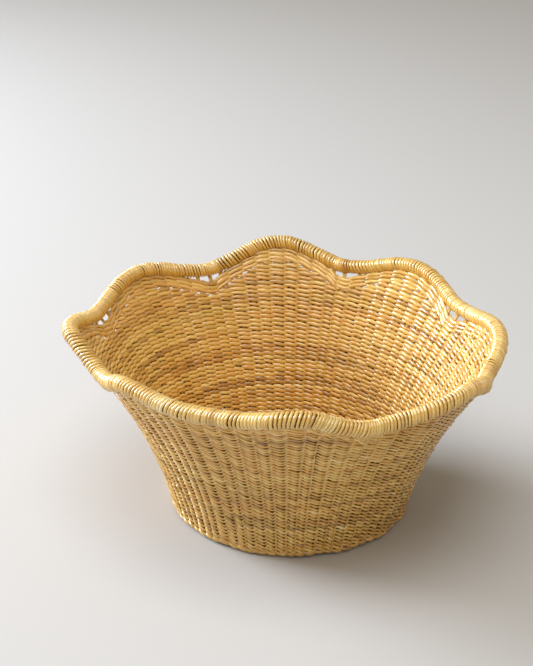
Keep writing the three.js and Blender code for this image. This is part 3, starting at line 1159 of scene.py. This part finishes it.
@dataclass
class Base:
    """The twined base, from its start in the middle out to the heel, with the foot's firm row.

    Attributes:
        spoke_gap: How far short of the fold the spokes of the start end.
        knot_start: Radius at which the knot's spiral starts.
        knot_inset: How much less its radius grows than the start's radius.
        heel_out: How far outside the wall the firm row lies.
    """

    shape: BowlShape
    twiner: Twiner
    row_pitch: float = 0.0034
    row_tone: float = -0.03
    start_radius: float = 0.0062
    outer_radius: float = 0.0872
    spoke_radius: float = 0.0012
    spoke_start: float = 0.0015
    spoke_gap: float = 0.002
    spoke_steps: int = 12
    spoke_tone: float = 0.5
    knot_turns: float = 2.5
    knot_steps: int = 90
    knot_start: float = 0.0006
    knot_inset: float = 0.001
    knot_half_width: float = 0.0013
    knot_half_thickness: float = 0.0028
    knot_tone: float = 0.55
    heel_height: float = 0.0024
    heel_out: float = 0.0006
    heel_pitch: float = 0.0034
    heel_swing: float = 0.0013
    heel_climb: float = 0.0004
    heel_float_width: float = 0.0017
    heel_cross_width: float = 0.0016
    heel_notch: float = 0.0001
    heel_float_thickness: float = 0.0010
    heel_cross_thickness: float = 0.0011

    def _spokes_at(self, radius: float) -> int:
        """How many spokes the base has at a radius: more are laid in as it grows.

        Args:
            radius: Radius of a row.

        Returns:
            A quarter of the stakes in the middle, then half and in the end all of them.
        """
        if radius > self.shape.fold_radius:
            return self.shape.stakes
        if radius > self.shape.fold_radius / 2.0:
            return self.shape.stakes // 2
        return self.shape.stakes // 4

    def _rows(self, inner: float, outer: float) -> list[Strand]:
        """Closed rows between two radii, at the pitch that fits them in evenly.

        Args:
            inner: Radius at which they start.
            outer: Radius at which they end.

        Returns:
            Two strands for each row.
        """
        count = int(round((outer - inner) / self.row_pitch))
        strands = []
        for radius in inner + (np.arange(count) + 0.5) * (outer - inner) / count:
            spokes = self._spokes_at(radius)
            place = self.twiner.places(0.0, float(spokes), True)
            line = self.shape.base(place, np.full_like(place, radius), spokes)
            strands += self.twiner.pair(place, line, True, self.row_tone)
        return strands

    def _spokes(self) -> list[Strand]:
        """Straight round stems inside the rows of the start, every second one reaching further in.

        Returns:
            One strand for each spoke.
        """
        strands = []
        count = self.shape.stakes // 2
        for spoke in range(count):
            inner = self.spoke_start if spoke % 2 == 0 else self.shape.fold_radius / 2.0
            radius = np.linspace(inner, self.shape.fold_radius - self.spoke_gap, self.spoke_steps)
            point, _, down = self.shape.base(np.full_like(radius, float(spoke)), radius, count)
            size, tone = np.full_like(radius, self.spoke_radius), np.full_like(radius, self.spoke_tone)
            strands.append(Strand(point, down, size, size, tone, tone, False))
        return strands

    def _knot(self) -> list[Strand]:
        """A small flat spiral, whose radius grows evenly with its turns, in the middle of the base.

        Returns:
            The spiral as one strand.
        """
        turn = np.linspace(0.0, self.knot_turns * TURN, self.knot_steps)
        radius = self.knot_start + (self.start_radius - self.knot_inset) * turn / turn[-1]
        level = np.full_like(turn, self.shape.base_level)
        line = np.stack([radius * np.cos(turn), radius * np.sin(turn), level], axis=-1)
        down = np.tile(DOWN, (len(turn), 1))
        sizes = (self.knot_half_width, self.knot_half_thickness, self.knot_tone)
        width, thickness, tone = (np.full_like(turn, size) for size in sizes)
        return [Strand(line, down, width, thickness, tone, tone, False)]

    def build(self) -> None:
        """Builds the start, the two base courses and the heel."""
        fold = self.shape.fold_radius
        start = StrandMesh("base_start_rows")
        start.strands += self._knot() + self._spokes() + self._rows(self.start_radius, fold)
        BASE_STRAW.dress(start.build(), "base_start")
        edges = (fold, (fold + self.outer_radius) / 2.0, self.outer_radius)
        for number, (inner, outer) in enumerate(zip(edges, edges[1:]), start=1):
            course = StrandMesh(f"base_rows_{number}")
            course.strands += self._rows(inner, outer)
            BASE_STRAW.dress(course.build(), f"base_course_{number}")
        self._build_heel()

    def _build_heel(self) -> None:
        """Builds the foot: a firm, nearly smooth row, and one plain row above it.

        The firm row is lowered or raised until its lowest point stands on the floor.
        """
        firm = Twiner(
            self.twiner.rng,
            outside_swing=self.heel_swing,
            inside_swing=self.heel_swing,
            cross_swing=0.0,
            climb_outside=self.heel_climb,
            climb_inside=self.heel_climb,
            float_width=self.heel_float_width,
            cross_width=self.heel_cross_width,
            dive_notch=self.heel_notch,
            rise_notch=self.heel_notch,
            float_thickness=self.heel_float_thickness,
            cross_thickness=self.heel_cross_thickness,
        )
        mesh = StrandMesh("heel_rows")
        place = firm.places(0.0, float(self.shape.stakes), True)
        low = float(self.shape.length_at(self.heel_height))
        point, up, outward = self.shape.wall(place, np.full_like(place, low))
        rows = firm.pair(place, (point + outward * self.heel_out, up, outward), True)
        lowest = min(float(strand.rings(mesh.sides)[..., 2].min()) for strand in rows)
        for strand in rows:
            strand.middle[:, 2] -= lowest
        above = self.shape.wall(place, np.full_like(place, low + self.heel_pitch))
        mesh.strands += rows + self.twiner.pair(place, above, True)
        HEEL_STRAW.dress(mesh.build(), "heel_course")


@dataclass(frozen=True)
class Uneven:
    """A random unevenness along a winding: its spread, and its spacing in turns."""

    spread: float
    spacing: float = 1.0


@dataclass
class Rim:
    """The wavy rim: a bundle of stems with straw wound closely round it.

    Attributes:
        nudge: Step along the rim by which its direction is measured, in stakes.
        wraps: How many straws share the winding.
        steps: Points on each turn.
        first_turn: Where on the rim a winding starts, in turns from the top.
        overlap: How much of a turn it is longer at each end.
        end_reach: How far it may reach past each end, in stakes.
        crowding_fade: How fast the crowding grows from either end, for each turn.
        tilt: How far a turn leans along the rim.
        tilt_angle: Where on the rim it leans furthest, as an angle before the top.
        straw_toning: Unevenness of tone from straw to straw, and turn_toning from turn to turn.
    """

    shape: BowlShape
    rng: np.random.Generator
    nudge: float = 0.02
    bundle_radius: float = 0.0029
    bundle_stem: float = 0.00145
    bundle_stems: int = 7
    bundle_steps: int = 480
    # Painted shade: the bundle is toned dark, as it shows only in the shaded gaps between the wraps.
    bundle_painted_shade_tone: float = 0.22
    bundle_tone_spread: float = 0.06
    wraps: int = 4
    turns_per_stake: int = 5
    steps: int = 12
    first_turn: float = 0.5
    overlap: float = 0.25
    end_reach: float = 0.3
    crowding: Uneven = Uneven(0.06)
    crowding_fade: float = 0.5
    tilt: float = 0.0020
    tilt_angle: float = 1.5
    tilting: Uneven = Uneven(0.0005, 3.0)
    wrap_radius: float = 0.00505
    bulging: Uneven = Uneven(0.00018, 0.5)
    wrap_width: float = 0.00117
    widening: Uneven = Uneven(0.16, 0.7)
    wrap_thickness: float = 0.00092
    thickening: Uneven = Uneven(0.10, 0.7)
    wrap_tone: float = 0.66
    straw_toning: Uneven = Uneven(0.06, 8.0)
    turn_toning: Uneven = Uneven(0.10)
    wrap_warmth: float = 0.22
    warming: Uneven = Uneven(0.12, 4.0)

    def _middle(self, place: Array) -> tuple[Array, Array, Array]:
        """Points of the rim's middle line on the wall, with the wall's directions."""
        return self.shape.wall(place, self.shape.rim_length(place * self.shape.stake_step))

    def _frames(self, place: Array) -> tuple[Array, Array, Array]:
        """Middle of the rim with its up and outward directions, square to each other and to it.

        Args:
            place: Places along the rim, in stakes.

        Returns:
            Points and two unit directions, each (n, 3).
        """
        point, up, _ = self._middle(place)
        forward = unit(self._middle(place + self.nudge)[0] - self._middle(place - self.nudge)[0])
        up = unit(up - forward * np.sum(up * forward, axis=1, keepdims=True))
        return point, up, np.cross(forward, up)

    def build_bundle(self) -> None:
        """Builds the stems inside the rim: a ring of them round one in the middle."""
        place = np.linspace(0.0, self.shape.stakes, self.bundle_steps, endpoint=False)
        point, up, outward = self._frames(place)
        mesh = StrandMesh("rim_bundle")
        for stem in range(self.bundle_stems):
            angle = stem * TURN / (self.bundle_stems - 1)
            distance = 0.0 if stem == self.bundle_stems - 1 else self.bundle_radius
            offset = up * np.cos(angle) + outward * np.sin(angle)
            size = np.full_like(place, self.bundle_stem)
            # Dark tone as painted shade for the gaps between the wraps.
            tone = np.full_like(place, self.rng.normal(self.bundle_painted_shade_tone, self.bundle_tone_spread))
            mesh.strands.append(Strand(point + offset * distance, offset, size, size, tone, tone, True))
        CORE_STRAW.dress(mesh.build(), "rim_core")

    def _noise(self, turns: Array, uneven: Uneven) -> Array:
        """Random numbers at the given spacing along the turns, with straight lines between."""
        knots = np.arange(turns[0], turns[-1] + 2.0 * uneven.spacing, uneven.spacing)
        return np.interp(turns, knots, self.rng.normal(0.0, uneven.spread, len(knots)))

    def _winding(self, first: float, stakes: float) -> Strand:
        """A strand wound round the rim: a helix whose turns tilt, bulge and crowd unevenly.

        It starts and ends under the rim, with an overlap of part of a turn, and the crowding
        fades out towards both ends. The tilt moves each turn along the rim by a cosine.

        Args:
            first: Place of its start, in stakes.
            stakes: How many stakes it passes.

        Returns:
            The winding as one open strand.
        """
        count = int(stakes * self.turns_per_stake)
        points = int(round((count + 2.0 * self.overlap) * self.steps)) + 1
        turns = np.linspace(-self.overlap, count + self.overlap, points)
        angle = TURN * (turns + self.first_turn)
        fade = np.clip(self.crowding_fade * np.minimum(turns, count - turns), 0.0, 1.0)
        crowd = self._noise(turns, self.crowding) * fade
        pitch = self.shape.rim_radius * self.shape.stake_step
        tilt = (self.tilt + self._noise(turns, self.tilting)) / pitch
        place = first + (turns + crowd) / self.turns_per_stake + tilt * np.cos(angle + self.tilt_angle)
        place = np.clip(place, first - self.end_reach, first + stakes + self.end_reach)
        point, up, outward = self._frames(place)
        away = up * np.cos(angle)[:, None] + outward * np.sin(angle)[:, None]
        distance = self.wrap_radius + self._noise(turns, self.bulging)
        width = self.wrap_width * (1.0 + self._noise(turns, self.widening))
        thickness = self.wrap_thickness * (1.0 + self._noise(turns, self.thickening))
        tone = self.wrap_tone + self._noise(turns, self.straw_toning)
        tone = tone + self._noise(turns, self.turn_toning)
        warmth = np.clip(self.wrap_warmth + self._noise(turns, self.warming), 0.0, 1.0)
        return Strand(point + away * distance[:, None], away, width, thickness, tone, warmth, False)

    def build_wraps(self) -> None:
        """Builds the windings, each over its own share of the rim."""
        stakes = self.shape.stakes / self.wraps
        for number in range(self.wraps):
            mesh = StrandMesh(f"rim_winding_{number + 1}")
            mesh.strands.append(self._winding(number * stakes, stakes))
            WRAP_STRAW.dress(mesh.build(), f"rim_wrap_{number + 1}")


@dataclass(frozen=True)
class Lamp:
    """A square soft lamp that faces the bowl."""

    name: str
    power: float
    size: float
    place: Triple
    colour: Triple = (1.0, 1.0, 1.0)
    aim: Triple = (0.0, 0.0, 0.08)

    def build(self) -> None:
        """Adds the lamp at its place, turned towards its aim."""
        lamp = bpy.data.lights.new(self.name, "AREA")
        lamp.energy = self.power
        lamp.size = self.size
        lamp.color = self.colour
        holder = bpy.data.objects.new(self.name, lamp)
        holder.location = self.place
        towards = Vector(self.aim) - Vector(self.place)
        holder.rotation_euler = towards.to_track_quat("-Z", "Y").to_euler()
        bpy.context.scene.collection.objects.link(holder)


@dataclass
class Studio:
    """A pale floor, soft light from the left and a camera at the photograph's angle.

    The focal length is in pixels of the image, and the camera's elevation and roll in degrees.
    """

    floor_half: float = 4.0
    floor_colour: Triple = (0.50, 0.495, 0.492)
    floor_roughness: float = 0.9
    frame_height_px: float = 666.0
    focal_px: float = 1468.5
    sensor: float = 36.0
    distance: float = 1.085
    elevation: float = 23.52
    roll: float = -0.95
    target: Triple = (-0.0197, 0.0, 0.1367)
    lamps: tuple[Lamp, ...] = (
        Lamp("key", power=110.0, size=1.3, place=(-2.1, 0.85, 1.0), colour=(0.86, 0.915, 1.0)),
        Lamp("fill", power=22.0, size=1.4, place=(-0.20, -0.50, 1.9)),
        Lamp("front", power=5.0, size=1.2, place=(0.3, -2.2, 0.45)),
    )
    sky: Triple = (1.0, 0.88, 0.69)
    sky_strength: float = 0.44
    backdrop: Triple = (0.50, 0.495, 0.485)

    def build_floor(self) -> None:
        """Builds the floor as one large sheet of a plain pale colour."""
        half = self.floor_half
        mesh = bpy.data.meshes.new("floor")
        corners = [(-half, -half, 0.0), (half, -half, 0.0), (half, half, 0.0), (-half, half, 0.0)]
        mesh.from_pydata(corners, [], [(0, 1, 2, 3)])
        floor = bpy.data.objects.new("floor", mesh)
        bpy.context.scene.collection.objects.link(floor)
        material = bpy.data.materials.new("floor paper")
        material.use_nodes = True
        tree = material.node_tree
        paper = {"Base Color": (*self.floor_colour, 1.0), "Roughness": self.floor_roughness}
        feed(tree, tree.nodes["Principled BSDF"], paper)
        mesh.materials.append(material)

    def build_lamps(self) -> None:
        """Adds the key lamp and the two fill lamps."""
        for lamp in self.lamps:
            lamp.build()

    def build_sky(self) -> None:
        """Adds an even sky, with a plain backdrop in its place where it is seen.

        The camera and glossy and transmitted rays see the backdrop, and all others the sky.
        """
        world = bpy.data.worlds.new("studio")
        bpy.context.scene.world = world
        world.use_nodes = True
        tree = world.node_tree
        sky = tree.nodes["Background"]
        feed(tree, sky, {"Color": (*self.sky, 1.0), "Strength": self.sky_strength})
        backdrop = add_node(tree, "ShaderNodeBackground", {"Color": (*self.backdrop, 1.0)})
        rays = add_node(tree, "ShaderNodeLightPath", {}).outputs
        seen = rays["Is Camera Ray"]
        for ray in ("Is Glossy Ray", "Is Transmission Ray"):
            seen = add_math(tree, "MAXIMUM", seen, rays[ray])
        sides = {0: seen, 1: sky.outputs["Background"], 2: backdrop.outputs["Background"]}
        mix = add_node(tree, "ShaderNodeMixShader", sides)
        feed(tree, tree.nodes["World Output"], {"Surface": mix.outputs["Shader"]})

    def build_camera(self) -> None:
        """Adds the camera: it looks at the target from the given distance, height and roll.

        The image is taller than wide, so the sensor's size spans its height.
        """
        tilt, roll = np.radians(self.elevation), np.radians(self.roll)
        forward = np.array([0.0, np.cos(tilt), -np.sin(tilt)])
        level = np.array([1.0, 0.0, 0.0])
        upright = np.array([0.0, np.sin(tilt), np.cos(tilt)])
        right = np.cos(roll) * level - np.sin(roll) * upright
        top = np.sin(roll) * level + np.cos(roll) * upright
        place = np.array(self.target) - forward * self.distance
        camera = bpy.data.cameras.new("camera")
        camera.sensor_width = self.sensor
        camera.lens = self.focal_px / self.frame_height_px * self.sensor
        holder = bpy.data.objects.new("camera", camera)
        axes = np.column_stack([right, top, -forward, place])
        holder.matrix_world = Matrix([*axes.tolist(), [0.0, 0.0, 0.0, 1.0]])
        bpy.context.scene.collection.objects.link(holder)
        bpy.context.scene.camera = holder


def main() -> None:
    """Builds the studio and then the bowl from its base to its rim."""
    logging.basicConfig(level=logging.INFO, format="%(name)s %(message)s")
    bpy.context.scene.view_settings.view_transform = "Standard"
    studio = Studio()
    studio.build_camera()
    studio.build_floor()
    studio.build_lamps()
    studio.build_sky()
    shape = BowlShape()
    Base(shape, Twiner(np.random.default_rng(BASE_SEED))).build()
    Stakes(shape, np.random.default_rng(STAKE_SEED)).build()
    wall = Wall(shape, Twiner(np.random.default_rng(WALL_SEED)))
    wall.build_level_courses()
    wall.build_petals()
    wall.build_border()
    rim = Rim(shape, np.random.default_rng(RIM_SEED))
    rim.build_bundle()
    rim.build_wraps()


if __name__ == "__main__":
    main()
